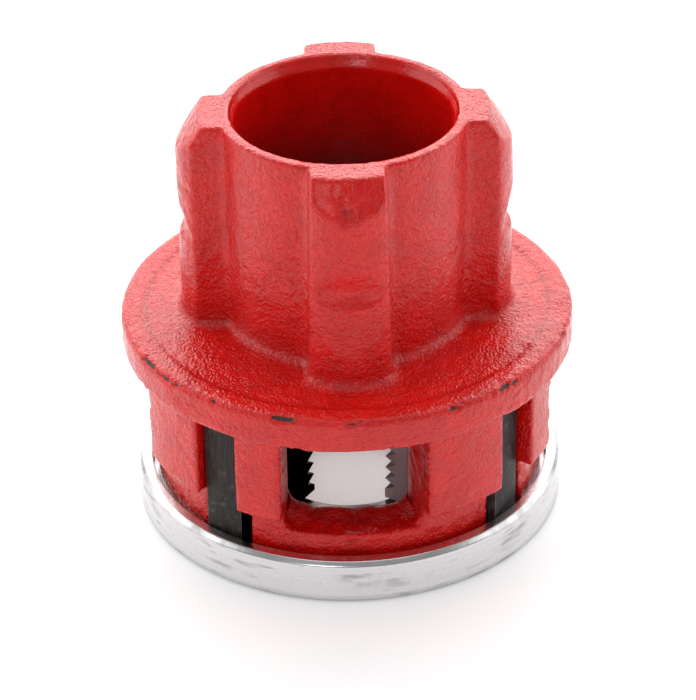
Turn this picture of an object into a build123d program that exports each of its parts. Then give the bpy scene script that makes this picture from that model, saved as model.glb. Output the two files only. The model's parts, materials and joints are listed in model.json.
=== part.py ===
from build123d import *
import math
import os

# Die head of a ratchet pipe threader, for 1/2 in taper pipe thread, 14 threads per inch.
# Millimetres, +Z up. It stands on its face plate at z = 0, drive hub up, axis on Z.
# A lug points along each of +X, +Y, -X and -Y. Everything else repeats four times about Z.

COPIES = 4
QUARTER_TURN = 360 / COPIES

# Thread
THREAD_PITCH = 25.4 / 14
THREAD_FLANK = math.radians(27.5)     # half of the 55 degree tooth form
THREAD_FLAT = THREAD_PITCH / 60       # half width of the flats on crests and roots
THREAD_DEPTH = (THREAD_PITCH / 2 - 2 * THREAD_FLAT) / math.tan(THREAD_FLANK)
THREAD_TAPER = math.atan(1 / 32)      # 1 in 16 on the diameter
CREST_RADIUS = 9.2                    # where the cutting corners stand, at the middle of the dies

# Heights of the body's levels
TOTAL_HEIGHT = 58.8
FLANGE_TOP = 29.6
FLANGE_BOTTOM = 24.6
BLOCK_BOTTOM = 11.8                   # the proud blocks end here, the narrower skirt goes on
SILL_TOP = 9.1                        # lower edge of the chip windows
PLATE_FLOOR = 3.4                     # the body's machined end face rests on the plate here
PLATE_RIM_TOP = 6.4

# Radii of the body
FLANGE_RADIUS = 30.5
FLANGE_BAND_INNER = 27.4              # the flange's top is a shade higher outside this radius
FLANGE_FIELD_DROP = 0.35
FLANGE_TOP_EDGE = 0.9
FLANGE_BOTTOM_EDGE = 0.5
BLOCK_RADIUS = 28.8
SKIRT_RADIUS = 26.5
CHAMBER_RADIUS = 16.5
HUB_RADIUS = 16.7
HUB_FOOT = 0.8                        # fillet between hub and flange
HUB_BORE = 14.4
MOUTH_RADIUS = 15.1
MOUTH_WALL = 0.5
MOUTH_DEPTH = 1.5
GUIDE_BORE = 11.1                     # passes 21.3 mm pipe
GUIDE_TOP = 33.5

# Drive lugs
LUG_RADIUS = 22.25
LUG_CORNER = 20.2                     # the crowned outer face meets the flanks at this distance
LUG_HALF_TOP = 4.9
LUG_HALF_BOTTOM = 5.55
LUG_CHAMFER_RADIUS = 19.2
LUG_CHAMFER_SLOPE = 0.64              # radial run for each mm of drop
NOTCH_TOP = 47.0
NOTCH_BOTTOM = 42.2
NOTCH_LEDGE = 41.2
NOTCH_RADIUS = 20.95

# Chip windows under the lugs, and the pockets behind them
POCKET_WIDE_SIDE = 8.7
POCKET_NARROW_SIDE = 7.4
POCKET_REACH = 20.6
POCKET_CORNER = 4.5
WINDOW_SQUARE_SIDE = 9.9
WINDOW_FLARED_SIDE = 10.6
WINDOW_INNER = 16.6                   # the window's cut starts at this radius
CUT_REACH = 34.0                      # past every outer face

# Dies. A die's cutting face lies on a radius of the head, and the rest of it trails behind.
DIE_ANGLE = 55.8
DIE_THICKNESS = 5.4
DIE_END = 26.7                        # flat outer end, whose trailing corner is backed by the plate's rim
DIE_BOTTOM = PLATE_FLOOR + 0.05
DIE_TOP = FLANGE_BOTTOM - 0.3
DIE_RELIEF = 3.0                      # degrees that the teeth fall away behind the cutting face
DIE_EDGE = 0.4
THROAT_TEETH = 2.5                    # teeth cut back at the pipe's way in
THROAT_RISE = 1.1
SLOT_CLEARANCE = 0.12
SLOT_GUIDE_END = 23.0                 # the slot is as cast, and wider, outside this radius
BLOCK_SLOT = (-5.75, 0.6)
SKIRT_SLOT = (-5.7, 1.25)

# Face plate
PLATE_RADIUS = 29.2
RIM_INNER = 27.3
PLATE_BORE = 11.2
PLATE_BEVEL = 0.6
PLATE_BOTTOM_EDGE = 0.45
PLATE_BORE_EDGE = 0.5

# Countersunk screws, M4, from the plate's underside into the body
SCREW_CIRCLE = 21.5
SCREW_ANGLE = 301.0
SCREW_SHANK = 2.0
SCREW_LENGTH = 14.0
SCREW_HEAD_RADIUS = 3.75
SCREW_HEAD_SUNK = 0.2
SCREW_HEAD_DEPTH = 2.0
SCREW_TIP = 0.5
DRIVE_SLOT_WIDTH = 1.0
DRIVE_SLOT_DEPTH = 0.9
TAPPED_RADIUS = 2.05
TAPPED_DEPTH = 15.5
PLATE_HOLE_RADIUS = 2.2
COUNTERSINK_GAP = 0.1


def turned(points):
    """A solid of revolution about Z from (radius, z) corners."""
    outline = Polyline([(radius, 0, z) for radius, z in points], close=True)
    return revolve(make_face(outline), Axis.Z, 360)


def block(x_range, y_range, z_range):
    """A box between stated limits."""
    low, high = zip(x_range, y_range, z_range)
    size = [b - a for a, b in zip(low, high)]
    middle = [(a + b) / 2 for a, b in zip(low, high)]
    return Pos(*middle) * Box(*size)


def around(shape, start=0.0):
    """Four copies of a shape about Z, the first turned by the start angle."""
    return [Rot(0, 0, start + QUARTER_TURN * step) * shape for step in range(COPIES)]


def lug_outline(half_width, z):
    """Plan of one lug at height z: straight flanks and a crowned outer face."""
    root = HUB_BORE + 1
    corner = math.sqrt(LUG_CORNER**2 + LUG_HALF_TOP**2 - half_width**2)
    flank = Line((root, -half_width), (corner, -half_width))
    crown = ThreePointArc((corner, -half_width), (LUG_RADIUS, 0), (corner, half_width))
    back = Line((corner, half_width), (root, half_width))
    closing = Line((root, half_width), (root, -half_width))
    return Pos(0, 0, z) * make_face([flank, crown, back, closing])


def lug():
    """One drafted lug, bevelled at the top and notched for the ratchet's catch."""
    start = FLANGE_TOP - 2
    rough = loft([lug_outline(LUG_HALF_BOTTOM, start), lug_outline(LUG_HALF_TOP, TOTAL_HEIGHT)])
    wide = LUG_RADIUS + 1
    bevel_start = TOTAL_HEIGHT - (wide - LUG_CHAMFER_RADIUS) / LUG_CHAMFER_SLOPE
    bevelled = turned([
        (0, start), (wide, start), (wide, bevel_start), (LUG_CHAMFER_RADIUS, TOTAL_HEIGHT), (0, TOTAL_HEIGHT),
    ])
    notch = turned([
        (LUG_RADIUS, NOTCH_TOP), (NOTCH_RADIUS, NOTCH_BOTTOM), (LUG_RADIUS, NOTCH_LEDGE),
        (wide + 1, NOTCH_LEDGE), (wide + 1, NOTCH_TOP),
    ])
    return (rough & bevelled) - notch


def flange():
    """The round collar, with its raised outer band and rounded edges."""
    disc = Pos(0, 0, (FLANGE_TOP + FLANGE_BOTTOM) / 2) * Cylinder(FLANGE_RADIUS, FLANGE_TOP - FLANGE_BOTTOM)
    disc = fillet(disc.edges().group_by(Axis.Z)[-1], FLANGE_TOP_EDGE)
    disc = fillet(disc.edges().group_by(Axis.Z)[0], FLANGE_BOTTOM_EDGE)
    field = FLANGE_TOP - FLANGE_FIELD_DROP
    recess = turned([
        (0, field), (FLANGE_BAND_INNER - FLANGE_FIELD_DROP, field), (FLANGE_BAND_INNER, FLANGE_TOP),
        (FLANGE_BAND_INNER, FLANGE_TOP + 1), (0, FLANGE_TOP + 1),
    ])
    return disc - recess


def hub():
    """The plain round hub and its foot fillet."""
    field = FLANGE_TOP - FLANGE_FIELD_DROP
    foot_radius = HUB_RADIUS + HUB_FOOT
    middle = HUB_FOOT * (1 - math.sqrt(0.5))
    outline = [
        Line((0, 0, FLANGE_BOTTOM), (foot_radius, 0, FLANGE_BOTTOM)),
        Line((foot_radius, 0, FLANGE_BOTTOM), (foot_radius, 0, field)),
        ThreePointArc(
            (foot_radius, 0, field),
            (HUB_RADIUS + middle, 0, field + middle),
            (HUB_RADIUS, 0, field + HUB_FOOT),
        ),
        Line((HUB_RADIUS, 0, field + HUB_FOOT), (HUB_RADIUS, 0, TOTAL_HEIGHT)),
        Line((HUB_RADIUS, 0, TOTAL_HEIGHT), (0, 0, TOTAL_HEIGHT)),
        Line((0, 0, TOTAL_HEIGHT), (0, 0, FLANGE_BOTTOM)),
    ]
    return revolve(make_face(outline), Axis.Z, 360)


def bore():
    """All that is hollow about the axis: mouth, hub bore, pipe guide and die chamber."""
    return turned([
        (0, 0), (CHAMBER_RADIUS, 0), (CHAMBER_RADIUS, FLANGE_BOTTOM), (GUIDE_BORE, FLANGE_BOTTOM),
        (GUIDE_BORE, GUIDE_TOP), (HUB_BORE, GUIDE_TOP + HUB_BORE - GUIDE_BORE),
        (HUB_BORE, TOTAL_HEIGHT - MOUTH_DEPTH), (MOUTH_RADIUS, TOTAL_HEIGHT - MOUTH_WALL),
        (MOUTH_RADIUS, TOTAL_HEIGHT + 1), (0, TOTAL_HEIGHT + 1),
    ])


def window():
    """One chip window on +X, square on one side and flared on the other."""
    outline = Polyline([
        (WINDOW_INNER, -POCKET_WIDE_SIDE), (POCKET_REACH, -POCKET_WIDE_SIDE),
        (BLOCK_RADIUS, -WINDOW_SQUARE_SIDE), (CUT_REACH, -WINDOW_SQUARE_SIDE),
        (CUT_REACH, WINDOW_FLARED_SIDE), (BLOCK_RADIUS, WINDOW_FLARED_SIDE),
        (POCKET_REACH, POCKET_NARROW_SIDE), (WINDOW_INNER, POCKET_NARROW_SIDE),
    ], close=True)
    return Pos(0, 0, SILL_TOP) * extrude(make_face(outline), FLANGE_BOTTOM - SILL_TOP)


def chip_pocket():
    """The room behind one window on +X, from the end face up to the flange, with a rounded back."""
    width = POCKET_WIDE_SIDE + POCKET_NARROW_SIDE
    middle = (POCKET_NARROW_SIDE - POCKET_WIDE_SIDE) / 2
    plan = Pos(POCKET_REACH / 2, middle) * Rectangle(POCKET_REACH, width)
    plan = fillet(plan.vertices().group_by(Axis.X)[-1], POCKET_CORNER)
    return extrude(plan, FLANGE_BOTTOM)


def die_slot():
    """One die slot on +X: a milled guide inside, and wider cast openings outside it."""
    guide = block(
        (CREST_RADIUS, CUT_REACH),
        (-DIE_THICKNESS - SLOT_CLEARANCE, SLOT_CLEARANCE),
        (0, FLANGE_BOTTOM),
    )
    in_block = block((SLOT_GUIDE_END, CUT_REACH), BLOCK_SLOT, (BLOCK_BOTTOM, FLANGE_BOTTOM))
    in_skirt = block((SLOT_GUIDE_END, CUT_REACH), SKIRT_SLOT, (0, BLOCK_BOTTOM))
    return guide + in_block + in_skirt


def die_head_body():
    """The casting: hub with four lugs, flange, and the slotted die chamber under it."""
    blocks = turned([
        (0, PLATE_FLOOR), (SKIRT_RADIUS, PLATE_FLOOR), (SKIRT_RADIUS, BLOCK_BOTTOM),
        (BLOCK_RADIUS, BLOCK_BOTTOM), (BLOCK_RADIUS, FLANGE_BOTTOM + 1), (0, FLANGE_BOTTOM + 1),
    ])
    body = blocks + flange() + hub()
    for one_lug in around(lug()):
        body += one_lug
    body -= bore()
    tapped = Pos(SCREW_CIRCLE, 0, TAPPED_DEPTH / 2) * Cylinder(TAPPED_RADIUS, TAPPED_DEPTH)
    for cut in around(window()) + around(chip_pocket()) + around(die_slot(), DIE_ANGLE):
        body -= cut
    for cut in around(tapped, SCREW_ANGLE):
        body -= cut
    return body


def tooth_line(first_crest):
    """The toothed edge of a die from bottom to top, as (crest distance, z) corners."""
    middle = (DIE_BOTTOM + DIE_TOP) / 2
    throat_start = DIE_TOP - THROAT_TEETH * THREAD_PITCH
    corners = []
    crest = first_crest
    while crest < DIE_TOP - THREAD_FLAT:
        root = crest + THREAD_PITCH / 2
        on_crest = [(crest - THREAD_FLAT, 0), (crest + THREAD_FLAT, 0)]
        in_root = [(root - THREAD_FLAT, THREAD_DEPTH), (root + THREAD_FLAT, THREAD_DEPTH)]
        for z, depth in on_crest + in_root:
            throat = max(0.0, z - throat_start) / (THROAT_TEETH * THREAD_PITCH) * THROAT_RISE
            reach = math.tan(THREAD_TAPER) * (z - middle)
            if DIE_BOTTOM < z < DIE_TOP:
                corners.append((reach + max(depth, throat), z))
        crest += THREAD_PITCH
    return [(corners[0][0], DIE_BOTTOM)] + corners + [(corners[-1][0], DIE_TOP)]


def die(number):
    """One die. Its teeth stand a quarter of a pitch above those of the die before it."""
    first_crest = DIE_BOTTOM + THREAD_PITCH * number / COPIES
    inner_edge = [(reach, 0, z) for reach, z in tooth_line(first_crest)]
    outline = [(CUT_REACH, 0, DIE_BOTTOM)] + inner_edge + [(CUT_REACH, 0, DIE_TOP)]
    comb = extrude(make_face(Polyline(outline, close=True)), 2 * DIE_THICKNESS, dir=(0, 1, 0), both=True)
    comb = Pos(CREST_RADIUS, 0, 0) * Rot(0, 0, DIE_RELIEF) * comb
    blank = block((0, DIE_END), (-DIE_THICKNESS, 0), (DIE_BOTTOM, DIE_TOP))
    outer_edges = blank.edges().filter_by(Axis.Y).group_by(Axis.X)[-1]
    blank = chamfer(outer_edges, DIE_EDGE)
    return Rot(0, 0, DIE_ANGLE + QUARTER_TURN * number) * (comb & blank)


def countersink(gap):
    """The cone under a screw head, with its clearance, on the Z axis."""
    reach = SCREW_HEAD_RADIUS + gap
    end = SCREW_HEAD_SUNK + SCREW_HEAD_DEPTH
    return turned([(0, -1), (reach, -1), (reach, SCREW_HEAD_SUNK), (reach - SCREW_HEAD_DEPTH, end), (0, end)])


def face_plate():
    """The turned steel cup that closes the head and backs the dies with its rim."""
    plate = turned([
        (PLATE_BORE + PLATE_BORE_EDGE, 0), (PLATE_RADIUS - PLATE_BOTTOM_EDGE, 0),
        (PLATE_RADIUS, PLATE_BOTTOM_EDGE),
        (PLATE_RADIUS, PLATE_RIM_TOP - PLATE_BEVEL), (PLATE_RADIUS - PLATE_BEVEL, PLATE_RIM_TOP),
        (RIM_INNER, PLATE_RIM_TOP), (RIM_INNER, PLATE_FLOOR), (PLATE_BORE, PLATE_FLOOR),
        (PLATE_BORE, PLATE_BORE_EDGE),
    ])
    hole = Cylinder(PLATE_HOLE_RADIUS, 4 * PLATE_FLOOR) + countersink(COUNTERSINK_GAP)
    for cut in around(Pos(SCREW_CIRCLE, 0, 0) * hole, SCREW_ANGLE):
        plate -= cut
    return plate


def screw():
    """One countersunk screw on the Z axis, head down, with a straight driver slot."""
    head_top = SCREW_HEAD_SUNK + SCREW_HEAD_RADIUS - SCREW_SHANK
    tip = SCREW_HEAD_SUNK + SCREW_LENGTH
    turned_blank = turned([
        (0, SCREW_HEAD_SUNK), (SCREW_HEAD_RADIUS, SCREW_HEAD_SUNK), (SCREW_SHANK, head_top),
        (SCREW_SHANK, tip - SCREW_TIP), (SCREW_SHANK - SCREW_TIP, tip), (0, tip),
    ])
    half = DRIVE_SLOT_WIDTH / 2
    reach = SCREW_HEAD_RADIUS + 1
    return turned_blank - block((-reach, reach), (-half, half), (0, SCREW_HEAD_SUNK + DRIVE_SLOT_DEPTH))


parts = {"die_head_body": die_head_body(), "face_plate": face_plate()}
for index in range(COPIES):
    parts[f"die_{index + 1}"] = die(index)
for index, placed in enumerate(around(Pos(SCREW_CIRCLE, 0, 0) * screw(), SCREW_ANGLE)):
    parts[f"plate_screw_{index + 1}"] = placed

os.makedirs("parts", exist_ok=True)
for name, shape in parts.items():
    export_step(shape, f"parts/{name}.step")
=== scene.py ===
import itertools
import json
import math

import bmesh
import bpy
import numpy as np
from mathutils import Matrix, Vector


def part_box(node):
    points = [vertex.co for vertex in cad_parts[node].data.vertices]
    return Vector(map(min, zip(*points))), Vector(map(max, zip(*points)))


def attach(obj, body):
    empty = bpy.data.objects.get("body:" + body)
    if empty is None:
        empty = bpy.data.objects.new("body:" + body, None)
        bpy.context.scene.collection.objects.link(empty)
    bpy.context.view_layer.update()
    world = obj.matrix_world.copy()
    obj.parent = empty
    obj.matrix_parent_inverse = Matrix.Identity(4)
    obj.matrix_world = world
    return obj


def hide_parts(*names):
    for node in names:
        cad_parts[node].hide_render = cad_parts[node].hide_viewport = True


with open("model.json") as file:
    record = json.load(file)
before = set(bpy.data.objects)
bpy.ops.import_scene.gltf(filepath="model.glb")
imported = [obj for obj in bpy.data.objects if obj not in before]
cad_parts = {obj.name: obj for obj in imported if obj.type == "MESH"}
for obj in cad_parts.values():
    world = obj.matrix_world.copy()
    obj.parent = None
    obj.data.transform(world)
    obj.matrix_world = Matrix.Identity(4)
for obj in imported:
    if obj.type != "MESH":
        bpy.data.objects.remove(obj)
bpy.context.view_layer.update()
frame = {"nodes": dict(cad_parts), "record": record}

# Looks of the die head of a ratchet pipe threader. Lengths named in mm are turned into metres with MM.
# The head stands on z = 0 with its axis on Z, and everything repeats four times about that axis.

MM = 0.001
COPIES = 4

# Sizes read from the frame, in mm
BODY_LOW, BODY_HIGH = (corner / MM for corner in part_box("die_head_body"))
PLATE_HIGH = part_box("face_plate")[1] / MM
MOUNTS = {mount["name"]: mount for mount in frame["record"]["mounts"]}
FLANGE_RADIUS = BODY_HIGH.x
HEAD_TOP = BODY_HIGH.z
BODY_BOTTOM = BODY_LOW.z
PLATE_RADIUS = PLATE_HIGH.x
RIM_TOP = PLATE_HIGH.z
HUB_BORE = MOUNTS["hub_bore"]["dims"]["r_mm"]
PLATE_BORE = MOUNTS["plate_bore"]["dims"]["r_mm"]

# Levels and radii that the finish changes at, in mm
FLANGE_TOP = 29.6
FLANGE_BOTTOM = 24.6
SILL_TOP = 9.1
FLANGE_STEP_RADIUS = 27.3
RIM_INNER = 27.3
DIE_ANGLE = 55.8
TEETH_END = 11.8                      # the dies' teeth all stand nearer to the axis than this
SCREW_CIRCLE = 21.5
SCREW_ANGLE = 301.0
SCREW_HEAD_RADIUS = 3.75
SCREW_HEAD_GAP = 0.1
SCREW_HEAD_SUNK = 0.2
SCREW_HOLE_RADIUS = 2.2
PLATE_BOTTOM_EDGE = 0.45
PLATE_RIM_BEVEL = 0.6
PLATE_BORE_EDGE = 0.5
CONTACT_SHADE_TOP = 1.3                       # the painted contact shadow on the plate's side ends at this ring

# How the surfaces are worked, in mm and rounds
CAST_GRID = 0.33                      # fineness of the casting's surface
CAST_ROUNDS = 4                       # rounds of smoothing for cast edges
MACHINED_ROUNDS = 1                   # and for machined ones
FILLET_ROUNDS = 34                    # width of the moulded fillets
FILLET_FILL = 1.3
WEAR_ROUNDS = 24                      # width that edges and hollows are told apart over
BROKEN_DIE_EDGE = 0.09
BROKEN_SCREW_EDGE = 0.10


# ---------------------------------------------------------------- meshes

def new_piece(name, mesh):
    """A new object with this mesh, in the scene."""
    piece = bpy.data.objects.new(name, mesh)
    bpy.context.scene.collection.objects.link(piece)
    return piece


def welded_copy(node, name):
    """A new piece with the shape of a CAD node, its split corners joined."""
    mesh = frame["nodes"][node].data.copy()
    mesh.materials.clear()
    work = bmesh.new()
    work.from_mesh(mesh)
    bmesh.ops.remove_doubles(work, verts=work.verts, dist=0.002 * MM)
    work.to_mesh(mesh)
    work.free()
    return new_piece(name, mesh)


def apply_modifiers(piece):
    """Gives the piece the mesh that its modifiers make."""
    graph = bpy.context.evaluated_depsgraph_get()
    made = bpy.data.meshes.new_from_object(piece.evaluated_get(graph))
    piece.modifiers.clear()
    piece.data = made


def get_points(mesh):
    """The mesh's vertices as an array, in mm."""
    flat = np.empty(len(mesh.vertices) * 3, np.float32)
    mesh.vertices.foreach_get("co", flat)
    return flat.reshape(-1, 3).astype(float) / MM


def set_points(mesh, points):
    """Moves the mesh's vertices to these points, in mm."""
    mesh.vertices.foreach_set("co", (points * MM).astype(np.float32).ravel())
    mesh.update()


def get_normals(mesh):
    """The mesh's vertex normals as an array."""
    flat = np.empty(len(mesh.vertices) * 3, np.float32)
    mesh.vertex_normals.foreach_get("vector", flat)
    return flat.reshape(-1, 3).astype(float)


def relaxed(points, edges, rounds):
    """The points after each has moved halfway to the middle of its neighbours, this many times."""
    ends = np.concatenate([edges[:, 0], edges[:, 1]])
    others = np.concatenate([edges[:, 1], edges[:, 0]])
    count = np.bincount(ends, minlength=len(points))[:, None]
    for _ in range(rounds):
        total = np.stack([np.bincount(ends, points[others, k], len(points)) for k in range(3)], axis=1)
        points = (points + total / count) / 2
    return points


def get_edges(mesh):
    """The mesh's edges as pairs of vertex numbers."""
    flat = np.empty(len(mesh.edges) * 2, np.int32)
    mesh.edges.foreach_get("vertices", flat)
    return flat.reshape(-1, 2)


def paint_attribute(mesh, name, values):
    """Stores one number for each vertex, for a material to read."""
    attribute = mesh.attributes.new(name, "FLOAT", "POINT")
    attribute.data.foreach_set("value", np.clip(values, 0, 1).astype(np.float32))


def paint_faces(mesh, name, values):
    """Stores one number for each face, for a material to read."""
    attribute = mesh.attributes.new(name, "FLOAT", "FACE")
    attribute.data.foreach_set("value", np.array(values, np.float32))


def ramp(values, start, end):
    """0 before start, 1 after end, and smooth between. Start may be above end."""
    share = np.clip((values - start) / (end - start), 0, 1)
    return share * share * (3 - 2 * share)


def near(values, level, outer, inner):
    """1 within inner of the level, 0 beyond outer, and smooth between."""
    return ramp(abs(values - level), outer, inner)


def smooth_noise(points, size, seed):
    """Smooth noise from -1 to 1, with lumps about this size across."""
    lattice = np.random.default_rng(seed).random((48, 48, 48)) * 2 - 1
    place = points / size + 100
    cell = np.floor(place).astype(int)
    part = place - cell
    part = part * part * (3 - 2 * part)
    total = np.zeros(len(points))
    for corner in itertools.product((0, 1), repeat=3):
        weight = np.prod(np.where(corner, part, 1 - part), axis=1)
        total += weight * lattice[tuple(((cell + corner) % 48).T)]
    return total


def smooth_shade(piece, sharp_angle=None):
    """Smooth shading, broken at edges sharper than the given angle in degrees."""
    piece.data.polygons.foreach_set("use_smooth", [True] * len(piece.data.polygons))
    if sharp_angle is not None:
        piece.data.set_sharp_from_angle(angle=math.radians(sharp_angle))
    piece.data.update()


def rounded_outline(corners, steps=4):
    """An open outline from (radius, z, rounding) corners, each rounded by an arc of these steps."""
    made = []
    for index, (r, z, rounding) in enumerate(corners):
        here = Vector((r, z))
        before = Vector(corners[index - 1][:2]) - here
        after = Vector(corners[(index + 1) % len(corners)][:2]) - here
        if rounding == 0:
            made.append(here)
            continue
        start = here + before.normalized() * rounding
        end = here + after.normalized() * rounding
        for step in range(steps + 1):
            t = step / steps
            made.append(start * (1 - t) ** 2 + here * 2 * t * (1 - t) + end * t * t)
    return made


def lathe(name, corners, segments):
    """A closed turned piece about Z, from rounded (radius, z, rounding) corners in mm."""
    outline = rounded_outline(corners)
    work = bmesh.new()
    rings = []
    for segment in range(segments):
        angle = 2 * math.pi * segment / segments
        x, y = math.cos(angle), math.sin(angle)
        rings.append([work.verts.new((p.x * MM * x, p.x * MM * y, p.y * MM)) for p in outline])
    for segment, ring in enumerate(rings):
        following = rings[(segment + 1) % segments]
        for k in range(len(outline)):
            up = (k + 1) % len(outline)
            work.faces.new((ring[k], following[k], following[up], ring[up]))
    bmesh.ops.recalc_face_normals(work, faces=work.faces)
    mesh = bpy.data.meshes.new(name)
    work.to_mesh(mesh)
    work.free()
    return new_piece(name, mesh)


# ---------------------------------------------------------------- material helpers

class Shader:
    """A material under construction, with short calls for the nodes it needs."""

    def __init__(self, name):
        self.material = bpy.data.materials.new(name)
        self.material.use_nodes = True
        self.tree = self.material.node_tree
        self.principled = self.tree.nodes["Principled BSDF"]

    def node(self, kind, **settings):
        made = self.tree.nodes.new(kind)
        for key, value in settings.items():
            setattr(made, key, value)
        return made

    def plug(self, socket, value):
        """Links an output to a socket, or sets the socket's own value."""
        if isinstance(value, bpy.types.NodeSocket):
            self.tree.links.new(value, socket)
        else:
            socket.default_value = value

    def constant(self, **values):
        """Sets the shader's own sockets."""
        for name, value in values.items():
            self.principled.inputs[name.replace("_", " ")].default_value = value

    def place(self):
        """The point in the piece's own space, in mm."""
        coordinates = self.node("ShaderNodeTexCoord").outputs["Object"]
        scaled = self.node("ShaderNodeVectorMath", operation="SCALE")
        self.plug(scaled.inputs[0], coordinates)
        scaled.inputs["Scale"].default_value = 1 / MM
        return scaled.outputs[0]

    def stretch(self, vector, scale):
        """The vector with each axis multiplied."""
        made = self.node("ShaderNodeVectorMath", operation="MULTIPLY")
        self.plug(made.inputs[0], vector)
        made.inputs[1].default_value = scale
        return made.outputs[0]

    def noise(self, vector, scale, detail=2.0, roughness=0.5):
        """Noise from about 0 to 1, where scale is the number of lumps to a mm."""
        made = self.node("ShaderNodeTexNoise")
        self.plug(made.inputs["Vector"], vector)
        made.inputs["Scale"].default_value = scale
        made.inputs["Detail"].default_value = detail
        made.inputs["Roughness"].default_value = roughness
        return made.outputs[0]

    def math(self, operation, first, second=0.0):
        made = self.node("ShaderNodeMath", operation=operation)
        self.plug(made.inputs[0], first)
        self.plug(made.inputs[1], second)
        return made.outputs[0]

    def times(self, first, second):
        return self.math("MULTIPLY", first, second)

    def plus(self, first, second):
        return self.math("ADD", first, second)

    def without(self, share):
        """What the share leaves of 1."""
        return self.math("SUBTRACT", 1.0, share)

    def between(self, value, low, high, out_low=0.0, out_high=1.0):
        """Value's stretch from low to high, mapped to the out range and held at its ends."""
        made = self.node("ShaderNodeMapRange", interpolation_type="SMOOTHSTEP")
        self.plug(made.inputs["Value"], value)
        limits = {"From Min": low, "From Max": high, "To Min": out_low, "To Max": out_high}
        for name, number in limits.items():
            made.inputs[name].default_value = number
        return made.outputs[0]

    def attribute(self, name):
        return self.node("ShaderNodeAttribute", attribute_name=name).outputs["Fac"]

    def blend(self, share, first, second):
        """A colour between two colours."""
        made = self.node("ShaderNodeMix", data_type="RGBA")
        self.plug(made.inputs[0], share)
        self.plug(made.inputs[6], first)
        self.plug(made.inputs[7], second)
        return made.outputs[2]

    def bump(self, height, depth_mm, below=None):
        """A bump whose height of 1 stands this many mm high."""
        made = self.node("ShaderNodeBump")
        made.inputs["Distance"].default_value = depth_mm * MM
        self.plug(made.inputs["Height"], height)
        if below is not None:
            self.plug(made.inputs["Normal"], below)
        return made.outputs[0]

    def turned_place(self, place, along, across):
        """Coordinates that run round the axis: along lumps a mm round it, across lumps a mm out and up."""
        flat = self.stretch(place, (1, 1, 0))
        unit = self.node("ShaderNodeVectorMath", operation="NORMALIZE")
        self.plug(unit.inputs[0], flat)
        length = self.node("ShaderNodeVectorMath", operation="LENGTH")
        self.plug(length.inputs[0], flat)
        split = self.node("ShaderNodeSeparateXYZ")
        self.plug(split.inputs[0], place)
        height = self.math("ADD", split.outputs[2], length.outputs["Value"])
        round_it = self.stretch(unit.outputs[0], (along * PLATE_RADIUS,) * 3)
        joined = self.node("ShaderNodeCombineXYZ")
        parts = self.node("ShaderNodeSeparateXYZ")
        self.plug(parts.inputs[0], round_it)
        self.plug(joined.inputs[0], parts.outputs[0])
        self.plug(joined.inputs[1], parts.outputs[1])
        self.plug(joined.inputs[2], self.math("MULTIPLY", height, across))
        return joined.outputs[0]

    def finish(self, color, roughness, normal=None, metallic=None):
        """Links what varies over the surface to the shader."""
        self.plug(self.principled.inputs["Base Color"], color)
        self.plug(self.principled.inputs["Roughness"], roughness)
        if normal is not None:
            self.plug(self.principled.inputs["Normal"], normal)
        if metallic is not None:
            self.plug(self.principled.inputs["Metallic"], metallic)
        return self.material


# ---------------------------------------------------------------- materials

def red_paint():
    """Thick glossy red enamel over sand-cast iron, chipped to dark iron at the edges."""
    s = Shader("red_enamel")
    place = s.place()
    shade_in_hollows = s.attribute("shade_in_hollows")
    bare = s.attribute("bare")
    turned = s.attribute("turned")
    bore_shade = s.attribute("bore_shade")
    dull_and_shaded = s.attribute("dull_and_shaded")
    drift = s.between(s.noise(place, 0.25, 3), 0.35, 0.65)
    color = s.blend(drift, (0.74, 0.006, 0.003, 1), (0.64, 0.004, 0.002, 1))
    color = s.blend(s.between(s.noise(place, 2.2, 4), 0.56, 0.76), color, (0.45, 0.003, 0.003, 1))
    # painted shade: the red darkens in hollows and along the flange step
    color = s.blend(s.times(shade_in_hollows, 0.6), color, (0.26, 0.001, 0.001, 1))
    pits = s.between(s.noise(place, 1.7, 2, 0.6), 0.58, 0.68)
    # painted shade: the casting pits are darkened
    pit_shade = s.times(pits, s.math("SUBTRACT", 0.12, s.times(turned, 0.1)))
    color = s.blend(pit_shade, color, (0.22, 0.001, 0.001, 1))
    # painted shade: darker red in the windows, on the inner sill and in the die chamber, which are also
    # rougher
    color = s.blend(s.times(dull_and_shaded, 0.7), color, (0.24, 0.004, 0.004, 1))
    scars = s.between(s.noise(s.turned_place(place, 0.5, 1.1), 1.0, 4, 0.65), 0.60, 0.68)
    # the tool scars on turned surfaces are real dark marks; the bore's darkening with depth is painted
    # shade
    scars_and_bore_shade = s.plus(bore_shade, s.times(scars, s.times(turned, 0.22)))
    color = s.blend(s.math("MINIMUM", scars_and_bore_shade, 1.0), color, (0.022, 0.006, 0.005, 1))
    chips = s.between(s.plus(bare, s.times(s.noise(place, 3.0, 4), 0.6)), 0.82, 0.95)
    iron = s.blend(s.noise(place, 4.0, 3), (0.020, 0.006, 0.005, 1), (0.07, 0.030, 0.025, 1))
    color = s.blend(chips, color, iron)
    rough = s.between(s.noise(place, 0.8, 3), 0.3, 0.7, 0.15, 0.27)
    rough = s.plus(rough, s.times(chips, 0.3))
    rough = s.plus(rough, s.times(s.math("MAXIMUM", dull_and_shaded, bore_shade), 0.34))
    cast = s.without(s.times(turned, 0.85))
    peel = s.times(s.noise(place, 1.35, 2, 0.5), cast)
    grain = s.times(s.noise(place, 2.7, 1, 0.5), cast)
    tool_lines = s.times(s.noise(s.turned_place(place, 0.05, 3.5), 1.0, 2), turned)
    normal = s.bump(peel, 0.20)
    normal = s.bump(grain, 0.12, normal)
    normal = s.bump(s.times(s.without(pits), cast), 0.03, normal)
    normal = s.bump(tool_lines, 0.05, normal)
    normal = s.bump(s.without(chips), 0.06, normal)
    s.constant(Coat_Weight=0.15, Coat_Roughness=0.08, IOR=1.46)
    return s.finish(color, rough, normal)


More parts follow.
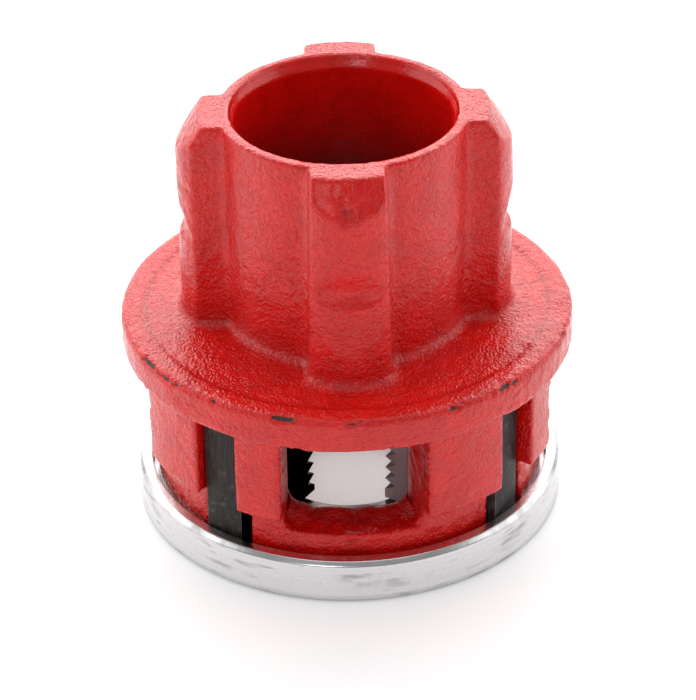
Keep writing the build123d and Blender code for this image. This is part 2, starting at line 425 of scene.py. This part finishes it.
def plated_steel():
    """Bright zinc plate over turned steel, with turning lines, grey stains and specks, and painted shade
    about the bore and a painted contact shadow at the foot.
    """
    s = Shader("zinc_plated_steel")
    place = s.place()
    rings = s.noise(s.turned_place(place, 0.03, 5.0), 1.0, 3)
    streaks = s.noise(s.turned_place(place, 0.12, 0.9), 1.0, 4, 0.6)
    patches = s.noise(place, 0.16, 3)
    stain = s.times(s.between(streaks, 0.50, 0.66), s.between(patches, 0.44, 0.58))
    color = s.blend(rings, (0.66, 0.665, 0.675, 1), (0.78, 0.782, 0.785, 1))
    color = s.blend(stain, color, (0.46, 0.455, 0.44, 1))
    specks = s.between(s.noise(place, 1.6, 3), 0.68, 0.76)
    color = s.blend(s.times(specks, 0.6), color, (0.34, 0.33, 0.31, 1))
    rough = s.between(streaks, 0.3, 0.7, 0.20, 0.34)
    rough = s.plus(rough, s.times(stain, 0.15))
    normal = s.bump(rings, 0.018)
    normal = s.bump(s.noise(place, 1.1, 3), 0.012, normal)
    # painted shade on the floor about the bore and a painted contact shadow round the foot
    color = s.blend(s.times(s.attribute("plate_shade"), 0.88), color, (0.08, 0.035, 0.03, 1))
    s.constant(Metallic=1.0)
    return s.finish(color, rough, normal)


def black_oxide():
    """Black oxide tool steel, ground lengthwise, with painted shade that makes the cutting face darkest and
    painted light that makes the face behind it grey.
    """
    s = Shader("black_oxide_steel")
    place = s.place()
    marks = s.noise(s.stretch(place, (6.0, 6.0, 0.25)), 1.0, 3, 0.6)
    color = s.blend(s.between(marks, 0.35, 0.7), (0.020, 0.018, 0.017, 1), (0.060, 0.054, 0.050, 1))
    color = s.blend(s.between(s.noise(place, 0.7, 3), 0.56, 0.7), color, (0.085, 0.078, 0.074, 1))
    from_axis = s.node("ShaderNodeVectorMath", operation="LENGTH")
    s.plug(from_axis.inputs[0], s.stretch(place, (1, 1, 0)))
    # painted light: the face behind the cutting face is lightened to grey near the teeth
    trailing_light = s.times(s.attribute("trailing"), s.between(from_axis.outputs["Value"], 19.5, 17.0))
    color = s.blend(s.times(trailing_light, 0.92), color, (0.80, 0.74, 0.74, 1))
    # painted shade: the cutting face near black, and made fully metallic so it shows little sheen
    color = s.blend(s.times(s.attribute("cutting"), 0.92), color, (0.004, 0.003, 0.003, 1))
    color = s.blend(s.times(s.attribute("worn"), 0.4), color, (0.22, 0.21, 0.20, 1))
    rough = s.between(marks, 0.3, 0.7, 0.40, 0.60)
    normal = s.bump(marks, 0.035)
    normal = s.bump(s.noise(place, 2.0, 3), 0.012, normal)
    s.constant(Specular_Tint=(0.3, 0.3, 0.3, 1.0))
    metallic = s.plus(0.2, s.times(s.attribute("cutting"), 0.8))
    return s.finish(color, rough, normal, metallic)


def screw_steel():
    """Dull zinc on the screws, darker in blotches."""
    s = Shader("screw_zinc")
    place = s.place()
    blotch = s.noise(place, 0.9, 4)
    color = s.blend(s.between(blotch, 0.4, 0.65), (0.42, 0.42, 0.43, 1), (0.26, 0.255, 0.25, 1))
    rough = s.between(blotch, 0.3, 0.7, 0.28, 0.46)
    normal = s.bump(s.noise(place, 3.5, 3), 0.012)
    s.constant(Metallic=1.0)
    return s.finish(color, rough, normal)


def table_top():
    """White table, softly lit through, so that it stays pale under the tool."""
    s = Shader("white_table")
    place = s.place()
    tone = s.blend(s.noise(place, 0.01, 2), (0.86, 0.86, 0.865, 1), (0.90, 0.90, 0.905, 1))
    s.constant(Emission_Color=(1.0, 1.0, 1.0, 1.0), Emission_Strength=0.29, Specular_IOR_Level=0.1)
    return s.finish(tone, s.between(s.noise(place, 0.05, 2), 0.3, 0.7, 0.35, 0.45))


# ---------------------------------------------------------------- pieces

def casting():
    """The red iron body: the CAD shape with rounded, sandy, chipped cast surfaces."""
    piece = welded_copy("die_head_body", "cast_body")
    remesh = piece.modifiers.new("remesh", "REMESH")
    remesh.mode = "VOXEL"
    remesh.voxel_size = CAST_GRID * MM
    apply_modifiers(piece)
    mesh = piece.data
    points = get_points(mesh)
    edges = get_edges(mesh)
    x, y, z = points.T
    radius = np.hypot(x, y)
    beside = np.minimum(abs(x), abs(y))

    # what is machined keeps crisp edges: the bore, the end face and the guides of the dies
    in_bore = ramp(radius, HUB_BORE + 1.3, HUB_BORE + 0.9) * ramp(z, FLANGE_BOTTOM + 3, FLANGE_BOTTOM + 4)
    end_face = ramp(z, BODY_BOTTOM + 2.6, BODY_BOTTOM + 0.8)
    under_flange = ramp(z, FLANGE_BOTTOM, FLANGE_BOTTOM - 0.6)
    inside = ramp(radius, 20.2, 19.6) * under_flange
    in_slot = ramp(beside, 10.9, 11.6) * ramp(radius, 23.6, 22.8) * under_flange
    crisp = np.maximum.reduce([in_bore, end_face, inside, in_slot])
    soft = relaxed(points, edges, CAST_ROUNDS)
    fine = relaxed(points, edges, MACHINED_ROUNDS)
    points = fine * crisp[:, None] + soft * (1 - crisp[:, None])
    set_points(mesh, points)

    # sand moulds leave broad fillets where the lugs join the hub and in the corners of the windows
    normals = get_normals(mesh)
    fill = np.einsum("ij,ij->i", relaxed(points, edges, FILLET_ROUNDS) - points, normals)
    at_lugs = ramp(z, FLANGE_TOP - 0.7, FLANGE_TOP - 0.3) * ramp(radius, 25.8, 25.0) * (1 - in_bore)
    at_windows = ramp(beside, 11.4, 10.9) * ramp(radius, 21.5, 22.5) * ramp(FLANGE_BOTTOM - z, 0, 0.5)
    fill = np.maximum(fill, 0) * np.maximum(at_lugs, at_windows) * (1 - crisp)
    points = points + normals * (FILLET_FILL * fill)[:, None]
    set_points(mesh, points)
    normals = get_normals(mesh)

    # sand-cast lumps, all over but in the machined places
    lumps = smooth_noise(points, 6.0, 1) * 0.10 + smooth_noise(points, 2.3, 2) * 0.045
    lumps += smooth_noise(points, 1.1, 3) * 0.035
    sandy = 1 - 0.93 * crisp

    # sand burnt on in patches: wrinkled fields on the flange and here and there on the lugs
    patch = ramp(smooth_noise(points, 7.0, 10), 0.12, 0.5)
    lumps += patch * smooth_noise(points, 0.9, 11) * 0.08

    # the window sills and the flared window sides are rough and lumpy
    sill = near(z, SILL_TOP, 1.4, 0.5) * ramp(radius, 20.5, 21.5)
    lumps += sill * ramp(radius, 23.5, 21.5) * 0.35
    lumps += sill * (smooth_noise(points, 1.1, 4) * 0.26 + smooth_noise(points, 2.4, 5) * 0.16)
    flare = near(beside, 8.9, 1.9, 1.2) * ramp(radius, 21, 22.5)
    flare *= ramp(FLANGE_BOTTOM - z, 0.2, 0.8) * ramp(z, SILL_TOP, SILL_TOP + 1)
    lumps += flare * smooth_noise(points, 0.9, 6) * 0.16

    # chips along the flange's edges
    edge = ramp(radius, FLANGE_RADIUS - 1.0, FLANGE_RADIUS - 0.35)
    top_edge = edge * near(z, FLANGE_TOP, 1.0, 0.4)
    low_edge = edge * near(z, FLANGE_BOTTOM, 0.8, 0.3)
    where = ramp(smooth_noise(points, 4.5, 7) + 0.6 * smooth_noise(points, 0.9, 8), 0.34, 0.56)
    chips = np.maximum(top_edge, 0.8 * low_edge) * where
    lumps -= 0.24 * chips

    # a pressed dimple near the top of the front lug, and the wrinkled paint under it
    dimple_at = np.array([-0.3, -21.7, 55.0])
    away = np.linalg.norm((points - dimple_at) * (1, 0.5, 0.8), axis=1)
    lumps -= 0.50 * ramp(away, 1.5, 0.3)
    lumps += ramp(away, 2.8, 0.8) * smooth_noise(points, 0.7, 9) * 0.14

    points = points + normals * (lumps * sandy)[:, None]

    # the sand broke away behind each sill and left a ridge, highest in the window's lower corners
    ridge = near(z, SILL_TOP, 1.2, 0.5) * ramp(radius, 16.6, 17.5) * ramp(radius, 25.0, 22.5)
    ridge *= ramp(beside, 9.6, 9.0)
    points[:, 2] += ridge * (0.5 + 0.8 * ramp(beside, 4.5, 8.5) + 0.3 * smooth_noise(points, 2.2, 12))
    points[:, 2] = np.clip(points[:, 2], BODY_BOTTOM, HEAD_TOP)
    set_points(mesh, points)

    # hollows are darkened with painted shade and the flange step with a painted shadow line, edges carry
    # less paint; the bore is darkened with depth as painted shade
    hollow = np.einsum("ij,ij->i", relaxed(points, edges, WEAR_ROUNDS) - points, get_normals(mesh))
    step = near(radius, FLANGE_STEP_RADIUS, 0.32, 0.10) * near(z, FLANGE_TOP, 1.0, 0.6)
    in_window = ramp(beside, 10.8, 10.2) * ramp(radius, 28.2, 27.6) * ramp(FLANGE_BOTTOM - z, 0, 0.4)
    in_window *= ramp(z, SILL_TOP + 0.8, SILL_TOP + 1.5)
    inner_sill = ramp(z, SILL_TOP + 0.6, SILL_TOP + 0.1) * ramp(radius, 24.6, 24.0)
    paint_attribute(mesh, "shade_in_hollows", np.maximum(ramp(hollow, 0.05, 0.35), 0.6 * step))
    paint_attribute(mesh, "bare", chips * 0.78 + 0.12 * ramp(-hollow, 0.12, 0.45))
    paint_attribute(mesh, "turned", np.maximum(in_bore, end_face))
    paint_attribute(mesh, "bore_shade", in_bore * ramp(z, HEAD_TOP - 2, FLANGE_TOP + 4))
    # rougher paint there, and painted shade in the windows, on the inner sill and in the die chamber under
    # the flange
    dull_and_shaded = np.maximum.reduce([0.6 * in_window, 0.65 * inner_sill * (1 - in_bore), inside])
    paint_attribute(mesh, "dull_and_shaded", dull_and_shaded)
    smooth_shade(piece)
    return piece


def cup():
    """The turned face plate, with its rounded edges and the countersunk screw holes."""
    floor_top = BODY_BOTTOM
    piece = lathe("steel_cup", [
        (PLATE_BORE + PLATE_BORE_EDGE, 0, 0.1),
        (PLATE_RADIUS - PLATE_BOTTOM_EDGE, 0, 0.2),
        (PLATE_RADIUS, PLATE_BOTTOM_EDGE, 0.2),
        (PLATE_RADIUS, CONTACT_SHADE_TOP, 0),
        (PLATE_RADIUS, RIM_TOP - PLATE_RIM_BEVEL, 0.18),
        (PLATE_RADIUS - PLATE_RIM_BEVEL, RIM_TOP, 0.18),
        (RIM_INNER, RIM_TOP, 0.15),
        (RIM_INNER, floor_top, 0.15),
        (PLATE_BORE, floor_top, 0.12),
        (PLATE_BORE, PLATE_BORE_EDGE, 0.1),
    ], 360)
    head = SCREW_HEAD_RADIUS + SCREW_HEAD_GAP
    cone_end = head + SCREW_HEAD_SUNK - SCREW_HOLE_RADIUS
    near_axis = 0.0001
    for index in range(COPIES):
        angle = math.radians(SCREW_ANGLE + 90 * index)
        cutter = lathe(f"cutter_{index}", [
            (near_axis, -1, 0), (head, -1, 0), (head, SCREW_HEAD_SUNK, 0), (SCREW_HOLE_RADIUS, cone_end, 0),
            (SCREW_HOLE_RADIUS, floor_top + 1, 0), (near_axis, floor_top + 1, 0),
        ], 64)
        cutter.location = (SCREW_CIRCLE * MM * math.cos(angle), SCREW_CIRCLE * MM * math.sin(angle), 0)
        cut = piece.modifiers.new("screw_hole", "BOOLEAN")
        cut.operation = "DIFFERENCE"
        cut.solver = "EXACT"
        cut.object = cutter
        bpy.context.view_layer.update()
        apply_modifiers(piece)
        bpy.data.objects.remove(cutter)
    x, y, z = get_points(piece.data).T
    radius = np.hypot(x, y)
    # painted shade under the body about the bore, and a painted contact shadow near the table
    shade_about_bore = ramp(radius, 26, 15) * ramp(z, 0.2, 0.6)
    contact_shadow = 0.45 * ramp(z, 1.2, 0.2) * ramp(radius, PLATE_RADIUS - 2, PLATE_RADIUS - 0.8)
    paint_attribute(piece.data, "plate_shade", np.maximum(shade_about_bore, contact_shadow))
    smooth_shade(piece, 25)
    return piece


def bevelled_copy(node, name, width, kept_radius=0.0):
    """The CAD shape with its sharp edges broken, but for those nearer to the axis than kept_radius mm."""
    piece = welded_copy(node, name)
    work = bmesh.new()
    work.from_mesh(piece.data)
    bmesh.ops.dissolve_limit(work, angle_limit=math.radians(0.2), verts=work.verts, edges=work.edges)
    chosen = [
        edge for edge in work.edges
        if edge.is_manifold and edge.calc_face_angle() > math.radians(32)
        and min(vert.co.xy.length for vert in edge.verts) > kept_radius * MM
    ]
    made = bmesh.ops.bevel(
        work, geom=chosen, offset=width * MM, offset_type="OFFSET", segments=2, profile=0.5,
        affect="EDGES", clamp_overlap=True,
    )
    work.faces.index_update()
    bevel_faces = {face.index for face in made["faces"]}
    work.to_mesh(piece.data)
    work.free()
    worn = [face.index in bevel_faces for face in piece.data.polygons]
    paint_faces(piece.data, "worn", worn)
    smooth_shade(piece, 28)
    return piece


def mark_die_faces(piece, angle):
    """Marks the cutting face, which looks ahead in its turn about the axis, and the face behind it."""
    ahead = Vector((-math.sin(angle), math.cos(angle), 0))
    facing = [face.normal.dot(ahead) for face in piece.data.polygons]
    paint_faces(piece.data, "cutting", [value > 0.9 for value in facing])
    paint_faces(piece.data, "trailing", [value < -0.9 for value in facing])


def stage():
    """The pale floor, the lights and the camera."""
    mesh = bpy.data.meshes.new("table")
    half = 6.0
    corners = [(-half, -half, 0), (half, -half, 0), (half, half, 0), (-half, half, 0)]
    mesh.from_pydata(corners, [], [(0, 1, 2, 3)])
    table = new_piece("table", mesh)
    table.data.materials.append(table_top())

    def panel(name, place, size, radiance):
        """A soft panel that faces the tool, of this brightness."""
        light = bpy.data.lights.new(name, "AREA")
        light.shape = "RECTANGLE"
        light.size, light.size_y = size
        light.energy = radiance * math.pi * size[0] * size[1]
        lamp = bpy.data.objects.new(name, light)
        bpy.context.scene.collection.objects.link(lamp)
        lamp.location = place
        aim = Vector((0, 0, 0.03)) - Vector(place)
        lamp.rotation_euler = aim.to_track_quat("-Z", "Y").to_euler()
        lamp.visible_camera = False

    panel("back_panel", (0.0, 0.75, 0.50), (1.6, 0.9), 2.8)
    panel("left_panel", (-0.85, 0.15, 0.42), (0.9, 0.7), 1.6)
    panel("right_panel", (0.85, 0.15, 0.42), (0.9, 0.7), 1.4)
    panel("top_panel", (0.0, 0.0, 0.90), (0.7, 0.7), 1.0)
    panel("front_panel", (-0.25, -0.8, 0.60), (0.26, 0.20), 5.0)

    world = bpy.data.worlds.new("studio")
    world.use_nodes = True
    background = world.node_tree.nodes["Background"]
    background.inputs["Color"].default_value = (1.0, 1.0, 1.0, 1.0)
    background.inputs["Strength"].default_value = 0.30
    bpy.context.scene.world = world

    azimuth = math.radians(-1.2)
    elevation = math.radians(32.09)
    roll = math.radians(-0.971)
    distance = 457.5 * MM
    aim = Vector((0.05 * MM, 0, 21.35 * MM))
    level = math.cos(elevation)
    back = Vector((math.sin(azimuth) * level, -math.cos(azimuth) * level, math.sin(elevation)))
    right = Vector((math.cos(azimuth), math.sin(azimuth), 0))
    up = back.cross(right)
    camera_x = right * math.cos(roll) + up * math.sin(roll)
    camera_y = up * math.cos(roll) - right * math.sin(roll)
    camera = bpy.data.objects.new("camera", bpy.data.cameras.new("camera"))
    camera.matrix_world = Matrix((camera_x, camera_y, back)).transposed().to_4x4()
    camera.location = aim + back * distance
    camera.data.sensor_width = 36
    camera.data.lens = 172.04
    camera.data.clip_start = 0.01
    bpy.context.scene.collection.objects.link(camera)
    bpy.context.scene.camera = camera
    bpy.context.scene.view_settings.view_transform = "Standard"


def build():
    """Makes every piece, gives it its material and joins it to its body."""
    body = casting()
    body.data.materials.append(red_paint())
    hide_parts("die_head_body")
    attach(body, "die_head")

    plate = cup()
    plate.data.materials.clear()
    plate.data.materials.append(plated_steel())
    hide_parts("face_plate")
    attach(plate, "face_plate")

    oxide = black_oxide()
    zinc = screw_steel()
    for number in range(1, COPIES + 1):
        die = bevelled_copy(f"die_{number}", f"thread_die_{number}", BROKEN_DIE_EDGE, TEETH_END)
        mark_die_faces(die, math.radians(DIE_ANGLE + 90 * (number - 1)))
        die.data.materials.append(oxide)
        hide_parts(f"die_{number}")
        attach(die, f"die_{number}")

        screw = bevelled_copy(f"plate_screw_{number}", f"countersunk_screw_{number}", BROKEN_SCREW_EDGE)
        screw.data.materials.append(zinc)
        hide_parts(f"plate_screw_{number}")
        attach(screw, f"screw_{number}")


build()
stage()
